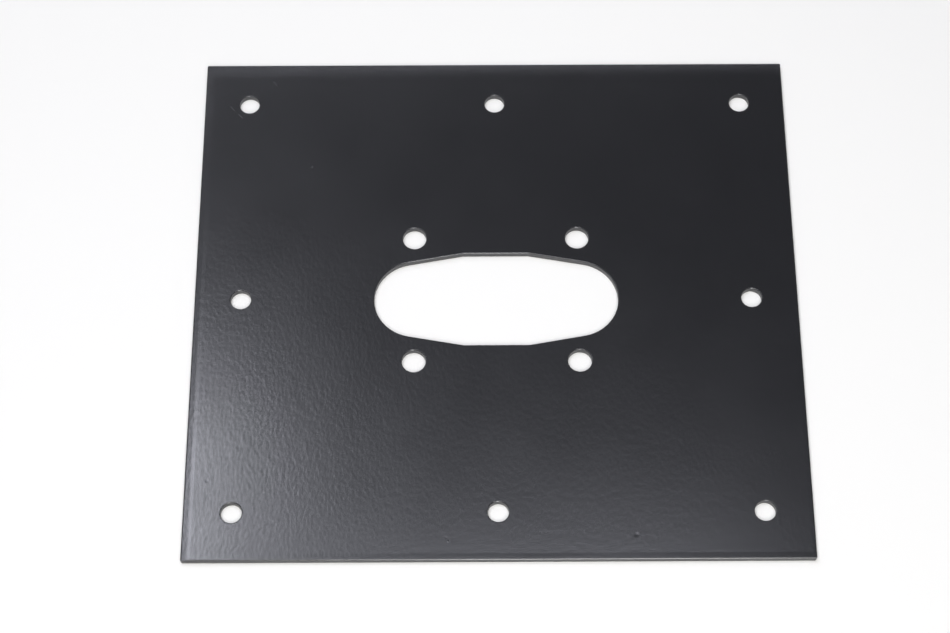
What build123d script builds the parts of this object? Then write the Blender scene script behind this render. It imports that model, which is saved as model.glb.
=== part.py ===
"""Motor mounting bracket: one flat steel plate, black powder coated.

Frame: X runs left to right, Y runs front to back and Z is up. The origin is the centre of
the bottom face. Sizes are in millimetres.
"""
import os
from math import asin, cos, degrees, radians, sin, sqrt

from build123d import *

# Plate
WIDTH = 280.0
DEPTH = 256.0
THICKNESS = 3.2
CORNER_RADIUS = 1.0

# Shearing pulls the sheet down along its top edges: a shallow bend, a straight slope, and a
# small round where the slope meets the cut side. The roll is widest at the back, steepest on
# the left, and hardly there at the front and on the right
BACK_ROLL_WIDTH = 7.0
BACK_BEND_WIDTH = 6.0
BACK_ROLL_ANGLE = 4.0
LEFT_ROLL_WIDTH = 4.4
LEFT_BEND_WIDTH = 1.8
LEFT_ROLL_ANGLE = 4.4
SHARP_ROLL_WIDTH = 1.5
SHARP_BEND_WIDTH = 0.8
SHARP_ROLL_ANGLE = 1.0
EDGE_ROUND = 0.6
BOTTOM_CHAMFER = 0.2

# Frame bolt holes: three by three round the border, with no hole in the middle
FRAME_HOLE_DIAMETER = 9.5
FRAME_SPAN_X = 237.0
FRAME_SPAN_Y = 211.0

# Motor bolt holes: four corners of a smaller rectangle
MOTOR_HOLE_DIAMETER = 11.0
MOTOR_SPAN_X = 76.2
MOTOR_SPAN_Y = 63.5

# Opening for the motor shaft and boss: round ends, a flat in the middle of each long side
# and a straight taper from each flat to the ends
OPENING_LENGTH = 113.3
OPENING_HEIGHT = 47.4
OPENING_END_RADIUS = 19.4
OPENING_FLAT = 30.4

# Punching and the coat soften the upper rim of every hole and of the opening
RIM_ROUND = 0.45

os.makedirs("parts", exist_ok=True)

top_face = Plane.XY.offset(THICKNESS)

# The taper starts at the end of the flat and touches the end arc
flat_end = Vector(OPENING_FLAT / 2, OPENING_HEIGHT / 2)
to_end_centre = Vector(OPENING_LENGTH / 2 - OPENING_END_RADIUS, 0) - flat_end
taper_length = sqrt(to_end_centre.length**2 - OPENING_END_RADIUS**2)
touch_angle = degrees(asin(OPENING_END_RADIUS / to_end_centre.length))
taper_angle = touch_angle - to_end_centre.get_angle(Vector(1, 0))

with BuildPart() as mounting_plate:
    # Blank
    with BuildSketch():
        RectangleRounded(WIDTH, DEPTH, CORNER_RADIUS)
    extrude(amount=THICKNESS)

    # Roll along each top edge, cut by a profile that looks along the edge
    for outward, along, half_span, run, roll_width, bend_width, roll_angle in (
        ((0, 1), (1, 0), DEPTH / 2, WIDTH, BACK_ROLL_WIDTH, BACK_BEND_WIDTH, BACK_ROLL_ANGLE),
        ((-1, 0), (0, 1), WIDTH / 2, DEPTH, LEFT_ROLL_WIDTH, LEFT_BEND_WIDTH, LEFT_ROLL_ANGLE),
        ((0, -1), (-1, 0), DEPTH / 2, WIDTH, SHARP_ROLL_WIDTH, SHARP_BEND_WIDTH, SHARP_ROLL_ANGLE),
        ((1, 0), (0, -1), WIDTH / 2, DEPTH, SHARP_ROLL_WIDTH, SHARP_BEND_WIDTH, SHARP_ROLL_ANGLE),
    ):
        roll_slope = sin(radians(roll_angle))
        slope_width = roll_width - bend_width - EDGE_ROUND * (1 - roll_slope)
        with BuildSketch(Plane((0, 0, 0), x_dir=(*outward, 0), z_dir=(*along, 0))):
            with BuildLine():
                bend = JernArc(
                    (half_span - roll_width, THICKNESS), (1, 0), bend_width / roll_slope, -roll_angle
                )
                slope = PolarLine(bend @ 1, slope_width / cos(radians(roll_angle)), -roll_angle)
                edge = JernArc(slope @ 1, slope % 1, EDGE_ROUND, roll_angle - 90)
                Polyline(edge @ 1, (half_span, THICKNESS), bend @ 0)
            make_face()
        extrude(amount=run, both=True, mode=Mode.SUBTRACT)

    # Lower outline
    lower = mounting_plate.faces().sort_by(Axis.Z)[0]
    chamfer(lower.outer_wire().edges(), BOTTOM_CHAMFER)

    # Bolt holes straight through; the middle one of the three by three falls inside the opening
    with BuildSketch(top_face):
        with GridLocations(FRAME_SPAN_X / 2, FRAME_SPAN_Y / 2, 3, 3):
            Circle(FRAME_HOLE_DIAMETER / 2)
        with GridLocations(MOTOR_SPAN_X, MOTOR_SPAN_Y, 2, 2):
            Circle(MOTOR_HOLE_DIAMETER / 2)
    extrude(amount=-THICKNESS, mode=Mode.SUBTRACT)

    # Opening in the middle
    with BuildSketch(top_face):
        with BuildLine():
            flat = Line((0, OPENING_HEIGHT / 2), flat_end)
            taper = PolarLine(flat @ 1, taper_length, taper_angle)
            TangentArc(taper @ 1, (OPENING_LENGTH / 2, 0), tangent=taper % 1)
            mirror(about=Plane.XZ)
            mirror(about=Plane.YZ)
        make_face()
    extrude(amount=-THICKNESS, mode=Mode.SUBTRACT)

    # Softened upper rims
    upper = mounting_plate.faces().sort_by(Axis.Z)[-1]
    fillet(upper.inner_wires().edges(), RIM_ROUND)

mounting_plate.part.label = "mounting_plate"
export_step(mounting_plate.part, "parts/mounting_plate.step")
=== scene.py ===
"""Motor mounting bracket: the looks of its black powder coat, and a small photo studio.

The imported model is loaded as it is. The plate's own shape stays, and this file gives it its
coat, the tiny nibs that dust leaves in a sprayed coat, and the floor, lamps and camera.
"""
import math

import bpy
from bpy.props import (
    FloatProperty,
    FloatVectorProperty,
    IntProperty,
    PointerProperty,
)
from mathutils import Matrix, Vector


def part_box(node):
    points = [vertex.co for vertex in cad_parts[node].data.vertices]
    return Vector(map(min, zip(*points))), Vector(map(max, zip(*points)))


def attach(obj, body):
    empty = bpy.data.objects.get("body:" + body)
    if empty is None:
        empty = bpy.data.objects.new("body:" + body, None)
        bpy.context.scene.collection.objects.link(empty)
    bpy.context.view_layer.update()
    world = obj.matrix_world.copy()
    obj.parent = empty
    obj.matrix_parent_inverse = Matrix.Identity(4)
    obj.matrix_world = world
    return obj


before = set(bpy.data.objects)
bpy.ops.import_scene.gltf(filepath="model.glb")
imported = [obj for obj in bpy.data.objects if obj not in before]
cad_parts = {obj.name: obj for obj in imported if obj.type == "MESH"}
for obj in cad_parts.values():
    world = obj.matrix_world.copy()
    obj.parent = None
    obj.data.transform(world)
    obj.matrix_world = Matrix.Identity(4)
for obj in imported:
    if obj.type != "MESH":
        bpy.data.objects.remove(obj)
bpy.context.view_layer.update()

bl_info = {
    "name": "Motor mounting bracket",
    "version": (1, 0, 0),
    "blender": (4, 5, 0),
    "location": "3D View > Sidebar > Bracket",
    "description": "Powder coat, coat nibs and a small studio for a flat motor mounting bracket",
    "category": "Object",
}

MM = 0.001
PLATE = "mounting_plate"
PLATE_LOW, PLATE_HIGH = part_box(PLATE)

# Marks in the coat, each by its place on the top face and its radius in millimetres, its
# height in micrometres (a pit is negative) and how much paler than the coat it is
COAT_MARKS = {
    "front_left_pit": ((-23.4, -117.5), 0.9, -60, 0.0),
    "front_left_bead": ((-22.2, -119.3), 0.6, 40, 0.02),
    "front_right_pit": ((60.9, -116.5), 1.5, -60, 0.0),
    "left_edge_pit": ((-130.1, -90.5), 0.8, -50, 0.0),
    "back_left_crater": ((-87.4, 70.6), 0.8, -30, 0.03),
    "middle_crater": ((55.3, -84.7), 0.6, 30, 0.0),
}

# How wide and how pale the rubs are, and the size of the patches where the gloss wanders
RUB_WIDTH = 0.35 * MM
RUB_PALENESS = 0.05
PATCH_SIZE = 40 * MM

# How far the nibs' ground lies below the top, and how low a nib is for its radius
NIB_GROUND_DEPTH = 0.01 * MM
NIB_FLATNESS = 0.3

# Paper sweep: gap under the plate, curve and wall height in metres, and its facets
PAPER_GAP = 0.05 * MM
SWEEP_CURVE = 0.5
SWEEP_WALL = 2.0
SWEEP_STEPS = 8
SWEEP_SIDES = 64
PAPER_WHITE = 0.97
AIR_STRENGTH = 0.1

# Camera: its place in metres, then how far it looks down, turns and rolls, in radians
CAMERA_STAND = (-0.01172, -0.46149, 0.93060)
CAMERA_DOWN = 1.11705
CAMERA_TURN = -0.00401
CAMERA_ROLL = -0.00071

# Light rubs that leave a thin pale line, each from one end to the other in millimetres
RUBS = {
    "back_left_rub": ((-127.6, 104.4), (-125.8, 102.2)),
    "back_left_second_rub": ((-123.6, 100.0), (-121.8, 98.0)),
    "back_edge_rub": ((-107.4, 118.6), (-105.6, 116.4)),
}


# ---------------------------------------------------------------- sizes and colours


class CoatSettings(bpy.types.PropertyGroup):
    """The black powder coat."""

    colour: FloatVectorProperty(
        name="Colour", description="Colour of the coat", subtype="COLOR", size=3,
        min=0.0, max=1.0, default=(0.0110, 0.0113, 0.0135),
    )
    roughness: FloatProperty(
        name="Roughness", description="Gloss of clean coat, 0 for a mirror",
        min=0.0, max=1.0, default=0.242, subtype="FACTOR",
    )
    # The sides' paler colour is painted light: it stands in for the light the white paper bounces
    # onto the cut sides and hole walls
    side_colour_painted_bounce: FloatVectorProperty(
        name="Side colour", description="Colour of the thinner coat on cut sides and hole walls",
        subtype="COLOR", size=3, min=0.0, max=1.0, default=(0.055, 0.055, 0.058),
    )
    side_roughness: FloatProperty(
        name="Side roughness", description="Gloss of the coat on cut sides and hole walls",
        min=0.0, max=1.0, default=0.38, subtype="FACTOR",
    )
    unevenness: FloatProperty(
        name="Unevenness", description="How much the gloss wanders from place to place",
        min=0.0, max=0.5, default=0.03, subtype="FACTOR",
    )
    peel_size: FloatProperty(
        name="Orange peel size", description="Distance from one ripple of the coat to the next",
        min=0.1 * MM, max=10 * MM, default=1.5 * MM, subtype="DISTANCE", unit="LENGTH", precision=5,
    )
    peel_depth: FloatProperty(
        name="Orange peel depth", description="Height of the coat's ripples",
        min=0.0, max=0.1 * MM, default=0.032 * MM, subtype="DISTANCE", unit="LENGTH", precision=6,
    )
    bead_width: FloatProperty(
        name="Edge bead width", description="Width of the bead of coat along the front edge",
        min=0.1 * MM, max=10 * MM, default=3 * MM, subtype="DISTANCE", unit="LENGTH", precision=5,
    )
    bead_height: FloatProperty(
        name="Edge bead height", description="Height of the bead of coat along the front edge",
        min=0.0, max=0.5 * MM, default=0.045 * MM, subtype="DISTANCE", unit="LENGTH", precision=6,
    )


class NibSettings(bpy.types.PropertyGroup):
    """Nibs that dust leaves in the coat."""

    density: FloatProperty(
        name="Nibs to the square metre", description="How thickly the nibs lie on the top face",
        min=0.0, max=20000.0, default=1400.0,
    )
    radius: FloatProperty(
        name="Nib radius", description="Radius of the largest nib",
        min=0.01 * MM, max=2 * MM, default=0.32 * MM, subtype="DISTANCE", unit="LENGTH", precision=5,
    )
    seed: IntProperty(name="Seed", description="Picks another scatter of nibs", default=7)


class StudioSettings(bpy.types.PropertyGroup):
    """Floor, lamps and camera."""

    paper_colour: FloatVectorProperty(
        name="Paper colour", description="Colour of the studio paper", subtype="COLOR", size=3,
        min=0.0, max=1.0, default=(0.93, 0.922, 0.898),
    )
    lit_radius: FloatProperty(
        name="Lit radius", description="How far from the bracket the paper is lit by the lamps alone",
        min=0.1, max=5.0, default=0.35, subtype="DISTANCE", unit="LENGTH",
    )
    paper_radius: FloatProperty(
        name="Paper radius", description="Distance from the bracket to the wall of the sweep",
        min=1.0, max=50.0, default=3.0, subtype="DISTANCE", unit="LENGTH",
    )
    lamp_distance: FloatProperty(
        name="Lamp distance", description="Distance of every lamp from the bracket",
        min=0.5, max=10.0, default=1.5, subtype="DISTANCE", unit="LENGTH",
    )
    lens: FloatProperty(
        name="Lens", description="Focal length on a full frame camera, in millimetres",
        min=10.0, max=300.0, default=84.6,
    )


# ---------------------------------------------------------------- node helpers


def wire(tree, source, target):
    """Join two sockets, or set the target when the source is a plain value."""
    if isinstance(source, bpy.types.NodeSocket):
        tree.links.new(source, target)
    else:
        target.default_value = source


def calc(tree, kind, *values, clamp=False):
    """A Math node over sockets or numbers, as its output socket."""
    node = tree.nodes.new("ShaderNodeMath")
    node.operation = kind
    node.use_clamp = clamp
    for place, value in enumerate(values):
        wire(tree, value, node.inputs[place])
    return node.outputs["Value"]


def vector_calc(tree, kind, *values, out="Vector"):
    """A Vector Math node over sockets or vectors, as one of its output sockets."""
    node = tree.nodes.new("ShaderNodeVectorMath")
    node.operation = kind
    for place, value in enumerate(values):
        wire(tree, value, node.inputs[place])
    return node.outputs[out]


def fade(tree, value, start, end, kind="SMOOTHSTEP"):
    """From 1 at the start of a range down to 0 at its end."""
    node = tree.nodes.new("ShaderNodeMapRange")
    node.interpolation_type = kind
    for name, part in (("Value", value), ("From Min", start), ("From Max", end)):
        wire(tree, part, node.inputs[name])
    node.inputs["To Min"].default_value = 1.0
    node.inputs["To Max"].default_value = 0.0
    return node.outputs["Result"]


def noise(tree, vector, scale, detail=1.0, rough=0.5):
    """A Noise Texture, as its value socket."""
    node = tree.nodes.new("ShaderNodeTexNoise")
    wire(tree, vector, node.inputs["Vector"])
    wire(tree, scale, node.inputs["Scale"])
    node.inputs["Detail"].default_value = detail
    node.inputs["Roughness"].default_value = rough
    return node.outputs["Fac"]


def new_group(name, takes, gives):
    """A shader node group with its sockets, and its entry and exit nodes."""
    group = bpy.data.node_groups.new(name, "ShaderNodeTree")
    for label, kind in takes:
        group.interface.new_socket(label, in_out="INPUT", socket_type="NodeSocket" + kind)
    group.interface.new_socket(gives, in_out="OUTPUT", socket_type="NodeSocketFloat")
    entry = group.nodes.new("NodeGroupInput")
    leave = group.nodes.new("NodeGroupOutput")
    return group, entry.outputs, leave.inputs[gives]


def use_group(tree, group, **values):
    """One use of a node group, its sockets set by name, as its output socket."""
    node = tree.nodes.new("ShaderNodeGroup")
    node.node_tree = group
    for label, value in values.items():
        wire(tree, value, node.inputs[label.replace("_", " ")])
    return node.outputs[0]


# ---------------------------------------------------------------- shared effects


def orange_peel_group():
    """Height of a sprayed coat's ripples, about 0 to 1, drawn out a little from front to back."""
    group, takes, leave = new_group(
        "Orange peel", (("Vector", "Vector"), ("Size", "Float")), "Height"
    )
    drawn = vector_calc(group, "MULTIPLY", takes["Vector"], (1.0, 0.6, 1.0))
    fine = calc(group, "DIVIDE", 1.0, takes["Size"])
    broad = calc(group, "MULTIPLY", fine, 0.36)
    ripples = noise(group, drawn, fine, detail=1.0, rough=0.4)
    swells = noise(group, drawn, broad, detail=1.0, rough=0.5)
    wire(group, calc(group, "ADD", ripples, calc(group, "MULTIPLY", swells, 0.5)), leave)
    return group


def patches_group():
    """Slow wandering of the coat's gloss, from -1 to 1."""
    group, takes, leave = new_group("Patches", (("Vector", "Vector"), ("Size", "Float")), "Value")
    scale = calc(group, "DIVIDE", 1.0, takes["Size"])
    cloud = noise(group, takes["Vector"], scale, detail=3.0, rough=0.55)
    wire(group, calc(group, "MULTIPLY_ADD", cloud, 2.0, -1.0), leave)
    return group


def round_mark_group():
    """A round mark on the top face: 1 at its centre and 0 from its radius out."""
    group, takes, leave = new_group(
        "Round mark", (("Vector", "Vector"), ("Centre", "Vector"), ("Radius", "Float")), "Mask"
    )
    away = vector_calc(group, "DISTANCE", takes["Vector"], takes["Centre"], out="Value")
    wire(group, fade(group, away, 0.0, takes["Radius"]), leave)
    return group


def rub_group():
    """A thin rub between two points: 1 along its middle line and 0 from its width out."""
    group, takes, leave = new_group(
        "Rub", (("Vector", "Vector"), ("From", "Vector"), ("To", "Vector"), ("Width", "Float")),
        "Mask",
    )
    reach = vector_calc(group, "SUBTRACT", takes["Vector"], takes["From"])
    line = vector_calc(group, "SUBTRACT", takes["To"], takes["From"])
    along = calc(
        group, "DIVIDE",
        vector_calc(group, "DOT_PRODUCT", reach, line, out="Value"),
        vector_calc(group, "DOT_PRODUCT", line, line, out="Value"),
        clamp=True,
    )
    scale = group.nodes.new("ShaderNodeVectorMath")
    scale.operation = "SCALE"
    wire(group, line, scale.inputs["Vector"])
    wire(group, along, scale.inputs["Scale"])
    away = vector_calc(group, "DISTANCE", reach, scale.outputs["Vector"], out="Value")
    wire(group, fade(group, away, 0.0, takes["Width"]), leave)
    return group


def edge_bead_group():
    """A bead of coat that swells up towards the front edge and grows from left to right."""
    group, takes, leave = new_group(
        "Edge bead",
        (("Vector", "Vector"), ("Edge", "Float"), ("Width", "Float"), ("Run", "Float")),
        "Height",
    )
    split = group.nodes.new("ShaderNodeSeparateXYZ")
    wire(group, takes["Vector"], split.inputs["Vector"])
    back = calc(group, "ADD", takes["Edge"], takes["Width"])
    rise = fade(group, split.outputs["Y"], takes["Edge"], back, kind="LINEAR")
    across = calc(group, "DIVIDE", split.outputs["X"], takes["Run"])
    lean = calc(group, "MULTIPLY_ADD", across, 0.5, 0.6)
    wander = noise(group, takes["Vector"], calc(group, "DIVIDE", 8.0, takes["Run"]))
    wire(group, calc(group, "MULTIPLY", rise, calc(group, "ADD", lean, wander)), leave)
    return group


def cut_side_group():
    """The cut sides and the walls of the holes: 1 where the surface stands upright."""
    group, takes, leave = new_group("Cut side", (("Normal", "Vector"),), "Mask")
    split = group.nodes.new("ShaderNodeSeparateXYZ")
    wire(group, takes["Normal"], split.inputs["Vector"])
    upward = calc(group, "ABSOLUTE", split.outputs["Z"])
    wire(group, fade(group, upward, 0.1, 0.5), leave)
    return group


# ---------------------------------------------------------------- the coat


def total(tree, parts):
    """Sum of several sockets."""
    sum_so_far = parts[0]
    for part in parts[1:]:
        sum_so_far = calc(tree, "ADD", sum_so_far, part)
    return sum_so_far


def powder_coat():
    """Semi-gloss black powder coat."""
    coat = bpy.context.scene.bracket_coat
    material = bpy.data.materials.new("black_powder_coat")
    material.use_nodes = True
    tree = material.node_tree
    tree.nodes.clear()
    output = tree.nodes.new("ShaderNodeOutputMaterial")
    shader = tree.nodes.new("ShaderNodeBsdfPrincipled")
    wire(tree, shader.outputs["BSDF"], output.inputs["Surface"])
    place = tree.nodes.new("ShaderNodeTexCoord").outputs["Object"]

    # Relief, in metres
    peel = use_group(tree, orange_peel_group(), Vector=place, Size=coat.peel_size)
    bead = use_group(
        tree, edge_bead_group(), Vector=place, Edge=PLATE_LOW[1], Width=coat.bead_width,
        Run=PLATE_HIGH[0] - PLATE_LOW[0],
    )
    relief = [
        calc(tree, "MULTIPLY", peel, coat.peel_depth),
        calc(tree, "MULTIPLY", bead, coat.bead_height),
    ]
    pale = []
    round_mark = round_mark_group()
    for (x, y), radius, height, paler in COAT_MARKS.values():
        centre = (x * MM, y * MM, PLATE_HIGH[2])
        mask = use_group(tree, round_mark, Vector=place, Centre=centre, Radius=radius * MM)
        relief.append(calc(tree, "MULTIPLY", mask, height * MM * MM))
        if paler:
            pale.append(calc(tree, "MULTIPLY", mask, paler))
    rub = rub_group()
    for start, end in RUBS.values():
        mask = use_group(
            tree, rub, Vector=place, Width=RUB_WIDTH,
            From=(start[0] * MM, start[1] * MM, PLATE_HIGH[2]),
            To=(end[0] * MM, end[1] * MM, PLATE_HIGH[2]),
        )
        pale.append(calc(tree, "MULTIPLY", mask, RUB_PALENESS))
    bump = tree.nodes.new("ShaderNodeBump")
    bump.inputs["Strength"].default_value = 1.0
    bump.inputs["Distance"].default_value = 1.0
    wire(tree, total(tree, relief), bump.inputs["Height"])
    wire(tree, bump.outputs["Normal"], shader.inputs["Normal"])

    # Gloss, less on the cut sides
    side = use_group(
        tree, cut_side_group(), Normal=tree.nodes.new("ShaderNodeTexCoord").outputs["Normal"]
    )
    patches = use_group(tree, patches_group(), Vector=place, Size=PATCH_SIZE)
    duller = calc(tree, "MULTIPLY", side, coat.side_roughness - coat.roughness)
    rough = calc(tree, "MULTIPLY_ADD", patches, coat.unevenness, coat.roughness)
    wire(tree, calc(tree, "ADD", rough, duller), shader.inputs["Roughness"])

    # Colour: paler on the cut sides as painted light, standing in for light the paper bounces onto
    # them, and paler in the rubs and craters
    sides = tree.nodes.new("ShaderNodeMix")
    sides.data_type = "RGBA"
    wire(tree, side, sides.inputs["Factor"])
    sides.inputs["A"].default_value = (*coat.colour, 1.0)
    sides.inputs["B"].default_value = (*coat.side_colour_painted_bounce, 1.0)
    rubbed = tree.nodes.new("ShaderNodeMix")
    rubbed.data_type = "RGBA"
    wire(tree, total(tree, pale), rubbed.inputs["Factor"])
    wire(tree, sides.outputs["Result"], rubbed.inputs["A"])
    rubbed.inputs["B"].default_value = (0.8, 0.8, 0.8, 1.0)
    wire(tree, rubbed.outputs["Result"], shader.inputs["Base Color"])
    return material


class BRACKET_OT_coat_plate(bpy.types.Operator):
    """Coat the plate with black powder coat"""

    bl_idname = "bracket.coat_plate"
    bl_label = "Coat the plate"

    def execute(self, context):
        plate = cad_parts[PLATE]
        plate.data.materials.clear()
        plate.data.materials.append(powder_coat())
        return {"FINISHED"}


# ---------------------------------------------------------------- the nibs


def nib_tree():
    """Geometry nodes that scatter low domes over the flat top of the plate."""
    tree = bpy.data.node_groups.new("Coat nibs", "GeometryNodeTree")
    face = tree.interface
    face.new_socket("Geometry", in_out="INPUT", socket_type="NodeSocketGeometry")
    face.new_socket("Plate", in_out="INPUT", socket_type="NodeSocketObject")
    face.new_socket("Top", in_out="INPUT", socket_type="NodeSocketFloat")
    face.new_socket("Density", in_out="INPUT", socket_type="NodeSocketFloat")
    face.new_socket("Radius", in_out="INPUT", socket_type="NodeSocketFloat")
    face.new_socket("Seed", in_out="INPUT", socket_type="NodeSocketInt")
    face.new_socket("Coat", in_out="INPUT", socket_type="NodeSocketMaterial")
    face.new_socket("Geometry", in_out="OUTPUT", socket_type="NodeSocketGeometry")
    takes = tree.nodes.new("NodeGroupInput").outputs
    leave = tree.nodes.new("NodeGroupOutput")

    plate = tree.nodes.new("GeometryNodeObjectInfo")
    wire(tree, takes["Plate"], plate.inputs["Object"])
    height = tree.nodes.new("ShaderNodeSeparateXYZ")
    wire(tree, tree.nodes.new("GeometryNodeInputPosition").outputs["Position"], height.inputs[0])
    floor = calc(tree, "SUBTRACT", takes["Top"], NIB_GROUND_DEPTH)
    top_faces = tree.nodes.new("GeometryNodeSeparateGeometry")
    top_faces.domain = "FACE"
    wire(tree, plate.outputs["Geometry"], top_faces.inputs["Geometry"])
    wire(
        tree, calc(tree, "GREATER_THAN", height.outputs["Z"], floor), top_faces.inputs["Selection"]
    )

    points = tree.nodes.new("GeometryNodeDistributePointsOnFaces")
    wire(tree, top_faces.outputs["Selection"], points.inputs["Mesh"])
    wire(tree, takes["Density"], points.inputs["Density"])
    wire(tree, takes["Seed"], points.inputs["Seed"])
    ball = tree.nodes.new("GeometryNodeMeshIcoSphere")
    ball.inputs["Radius"].default_value = 1.0
    ball.inputs["Subdivisions"].default_value = 2
    spread = tree.nodes.new("FunctionNodeRandomValue")
    spread.inputs["Min"].default_value = 0.3
    spread.inputs["Max"].default_value = 1.0
    wire(tree, takes["Seed"], spread.inputs["Seed"])
    size = calc(tree, "MULTIPLY", calc(tree, "POWER", spread.outputs["Value"], 2.0), takes["Radius"])
    flat = tree.nodes.new("ShaderNodeCombineXYZ")
    wire(tree, size, flat.inputs["X"])
    wire(tree, size, flat.inputs["Y"])
    wire(tree, calc(tree, "MULTIPLY", size, NIB_FLATNESS), flat.inputs["Z"])
    domes = tree.nodes.new("GeometryNodeInstanceOnPoints")
    wire(tree, points.outputs["Points"], domes.inputs["Points"])
    wire(tree, ball.outputs["Mesh"], domes.inputs["Instance"])
    wire(tree, flat.outputs["Vector"], domes.inputs["Scale"])
    real = tree.nodes.new("GeometryNodeRealizeInstances")
    smooth = tree.nodes.new("GeometryNodeSetShadeSmooth")
    paint = tree.nodes.new("GeometryNodeSetMaterial")
    wire(tree, domes.outputs["Instances"], smooth.inputs["Geometry"])
    wire(tree, smooth.outputs["Geometry"], real.inputs["Geometry"])
    wire(tree, real.outputs["Geometry"], paint.inputs["Geometry"])
    wire(tree, takes["Coat"], paint.inputs["Material"])
    wire(tree, paint.outputs["Geometry"], leave.inputs["Geometry"])
    return tree


class BRACKET_OT_scatter_nibs(bpy.types.Operator):
    """Scatter small nibs over the top of the coat"""

    bl_idname = "bracket.scatter_nibs"
    bl_label = "Scatter nibs in the coat"

    def execute(self, context):
        nibs = context.scene.bracket_nibs
        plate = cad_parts[PLATE]
        tree = nib_tree()
        values = {
            "Plate": plate,
            "Top": PLATE_HIGH[2],
            "Density": nibs.density,
            "Radius": nibs.radius,
            "Seed": nibs.seed,
            "Coat": plate.data.materials[0],
        }
        carrier = bpy.data.objects.new("nib_carrier", bpy.data.meshes.new("nib_carrier"))
        context.scene.collection.objects.link(carrier)
        scatter = carrier.modifiers.new("Coat nibs", "NODES")
        scatter.node_group = tree
        for item in tree.interface.items_tree:
            if item.in_out == "INPUT" and item.name in values:
                scatter[item.identifier] = values[item.name]
        graph = context.evaluated_depsgraph_get()
        mesh = bpy.data.meshes.new_from_object(carrier.evaluated_get(graph), depsgraph=graph)
        bpy.data.objects.remove(carrier)
        if not mesh.polygons:
            raise RuntimeError("no nibs were scattered")
        mesh.name = "coat_nibs"
        piece = bpy.data.objects.new("coat_nibs", mesh)
        context.scene.collection.objects.link(piece)
        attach(piece, "root")
        return {"FINISHED"}


# ---------------------------------------------------------------- the studio


def direction(elevation, azimuth):
    """Unit vector at an elevation above the floor, azimuth turned from the back to the right."""
    level = math.cos(elevation)
    return Vector((
        level * math.sin(azimuth),
        level * math.cos(azimuth),
        math.sin(elevation),
    ))


def soft_lamp(name, elevation, azimuth, width, height, power, colour=(1, 1, 1)):
    """A rectangular soft box that faces the bracket."""
    lamp = bpy.data.lights.new(name, "AREA")
    lamp.shape = "RECTANGLE"
    lamp.size = width
    lamp.size_y = height
    lamp.energy = power
    lamp.color = colour
    box = bpy.data.objects.new(name, lamp)
    way = direction(math.radians(elevation), math.radians(azimuth))
    box.location = way * bpy.context.scene.bracket_studio.lamp_distance
    box.rotation_euler = way.to_track_quat("Z", "Y").to_euler()
    bpy.context.scene.collection.objects.link(box)
    return box


def paper_sweep(radius, under):
    """A round sheet of paper whose rim curves up into a low wall."""
    profile = [(0.0, 0.0), (radius, 0.0)]
    for step in range(1, SWEEP_STEPS + 1):
        turn = math.radians(90 * step / SWEEP_STEPS)
        out = radius + SWEEP_CURVE * math.sin(turn)
        profile.append((out, SWEEP_CURVE * (1 - math.cos(turn))))
    profile.append((radius + SWEEP_CURVE, SWEEP_WALL))
    sides = SWEEP_SIDES
    points = [(0.0, 0.0, under)]
    for out, up in profile[1:]:
        for side in range(sides):
            turn = 2 * math.pi * side / sides
            points.append((out * math.cos(turn), out * math.sin(turn), under + up))
    faces = [(0, 1 + side, 1 + (side + 1) % sides) for side in range(sides)]
    for ring in range(len(profile) - 2):
        low = 1 + ring * sides
        for side in range(sides):
            after = (side + 1) % sides
            faces.append((low + side, low + sides + side, low + sides + after, low + after))
    mesh = bpy.data.meshes.new("studio_paper")
    mesh.from_pydata(points, [], faces)
    mesh.shade_smooth()
    sweep = bpy.data.objects.new("studio_paper", mesh)
    bpy.context.scene.collection.objects.link(sweep)
    return sweep


def studio_paper():
    """White paper: lit by the lamps near the bracket, and plain white where they don't reach."""
    studio = bpy.context.scene.bracket_studio
    paper = bpy.data.materials.new("studio_paper")
    paper.use_nodes = True
    tree = paper.node_tree
    tree.nodes.clear()
    output = tree.nodes.new("ShaderNodeOutputMaterial")
    plain = tree.nodes.new("ShaderNodeBsdfDiffuse")
    plain.inputs["Color"].default_value = (*studio.paper_colour, 1.0)
    glow = tree.nodes.new("ShaderNodeEmission")
    glow.inputs["Color"].default_value = (1.0, 1.0, 0.985, 1.0)
    glow.inputs["Strength"].default_value = PAPER_WHITE
    place = tree.nodes.new("ShaderNodeTexCoord").outputs["Object"]
    away = vector_calc(tree, "LENGTH", place, out="Value")
    near = fade(tree, away, studio.lit_radius, studio.paper_radius / 2)
    path = tree.nodes.new("ShaderNodeLightPath")
    mirrored = calc(
        tree, "ADD", path.outputs["Is Glossy Ray"], path.outputs["Is Transmission Ray"], clamp=True
    )
    looked_at = calc(tree, "ADD", path.outputs["Is Camera Ray"], mirrored, clamp=True)
    mix = tree.nodes.new("ShaderNodeMixShader")
    far = calc(tree, "SUBTRACT", 1.0, near)
    wire(tree, calc(tree, "MULTIPLY", looked_at, far), mix.inputs["Fac"])
    wire(tree, plain.outputs["BSDF"], mix.inputs[1])
    wire(tree, glow.outputs["Emission"], mix.inputs[2])
    wire(tree, mix.outputs["Shader"], output.inputs["Surface"])
    return paper


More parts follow.
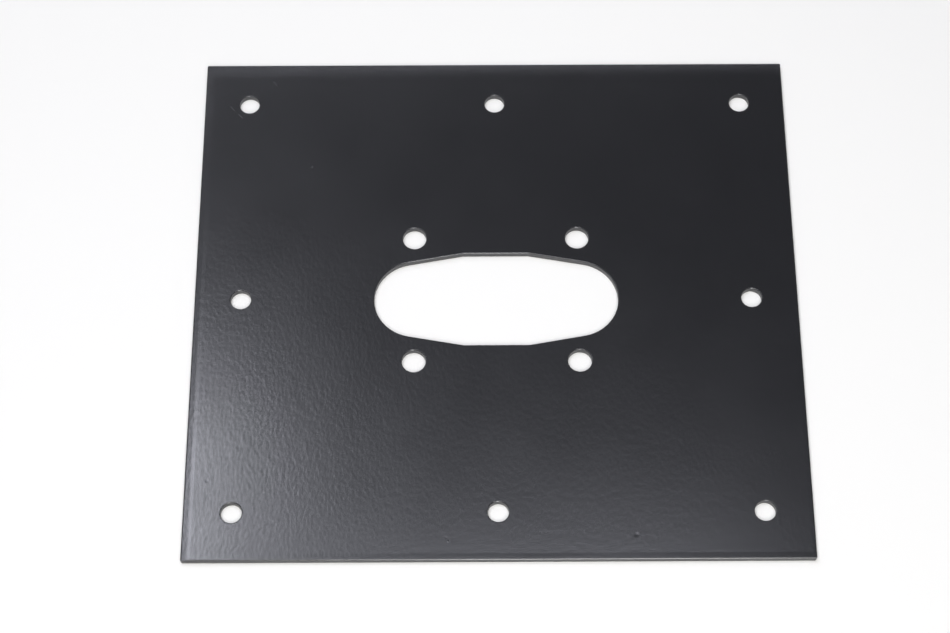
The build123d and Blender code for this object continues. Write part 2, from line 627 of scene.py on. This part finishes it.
class BRACKET_OT_set_stage(bpy.types.Operator):
    """Set up the paper, the lamps and the camera"""

    bl_idname = "bracket.set_stage"
    bl_label = "Set up the studio"

    def execute(self, context):
        scene = context.scene
        studio = scene.bracket_studio
        scene.view_settings.view_transform = "Standard"

        sweep = paper_sweep(studio.paper_radius, PLATE_LOW[2] - PAPER_GAP)
        sweep.data.materials.append(studio_paper())

        world = bpy.data.worlds.new("studio_air")
        world.use_nodes = True
        world.node_tree.nodes["Background"].inputs["Color"].default_value = (1, 1, 1, 1)
        world.node_tree.nodes["Background"].inputs["Strength"].default_value = AIR_STRENGTH
        scene.world = world

        cool = (0.97, 0.985, 1.09)
        soft_lamp("key_softbox", 66.5, -43.3, 0.230, 0.168, 3.52, cool)
        soft_lamp("top_softbox", 80.2, -8.8, 0.672, 0.040, 3.21, cool)
        soft_lamp("back_strip", 47.1, -17.7, 1.731, 0.030, 2.14, cool)
        soft_lamp("front_softbox", 62.0, 180.0, 1.0, 1.0, 18.0)
        glint = soft_lamp("front_low_softbox", 20.0, 175.9, 0.45, 0.62, 26.0)
        glint.visible_diffuse = False  # only there for the shine along the front edge

        camera = bpy.data.cameras.new("camera")
        camera.sensor_width = 36.0
        camera.lens = studio.lens
        eye = bpy.data.objects.new("camera", camera)
        stand = Matrix.Translation(CAMERA_STAND)
        pan = Matrix.Rotation(CAMERA_TURN, 4, "Z")
        tilt = Matrix.Rotation(math.pi / 2 - CAMERA_DOWN, 4, "X")
        roll = Matrix.Rotation(CAMERA_ROLL, 4, "Z")
        eye.matrix_world = stand @ pan @ tilt @ roll
        scene.collection.objects.link(eye)
        scene.camera = eye
        return {"FINISHED"}


class BRACKET_PT_panel(bpy.types.Panel):
    """Bracket tools in the sidebar"""

    bl_idname = "BRACKET_PT_panel"
    bl_label = "Motor mounting bracket"
    bl_space_type = "VIEW_3D"
    bl_region_type = "UI"
    bl_category = "Bracket"

    def draw(self, context):
        layout = self.layout
        for group, keys in (
            (context.scene.bracket_coat, CoatSettings.__annotations__),
            (context.scene.bracket_nibs, NibSettings.__annotations__),
            (context.scene.bracket_studio, StudioSettings.__annotations__),
        ):
            box = layout.box()
            for key in keys:
                box.prop(group, key)
        for step in STEPS:
            layout.operator(step.bl_idname)


STEPS = (BRACKET_OT_coat_plate, BRACKET_OT_scatter_nibs, BRACKET_OT_set_stage)
CLASSES = (CoatSettings, NibSettings, StudioSettings, *STEPS, BRACKET_PT_panel)


def register():
    for each in CLASSES:
        bpy.utils.register_class(each)
    bpy.types.Scene.bracket_coat = PointerProperty(type=CoatSettings)
    bpy.types.Scene.bracket_nibs = PointerProperty(type=NibSettings)
    bpy.types.Scene.bracket_studio = PointerProperty(type=StudioSettings)


def unregister():
    del bpy.types.Scene.bracket_studio
    del bpy.types.Scene.bracket_nibs
    del bpy.types.Scene.bracket_coat
    for each in reversed(CLASSES):
        bpy.utils.unregister_class(each)


def main():
    register()
    bpy.ops.bracket.coat_plate()
    bpy.ops.bracket.scatter_nibs()
    bpy.ops.bracket.set_stage()


if __name__ == "__main__":
    main()
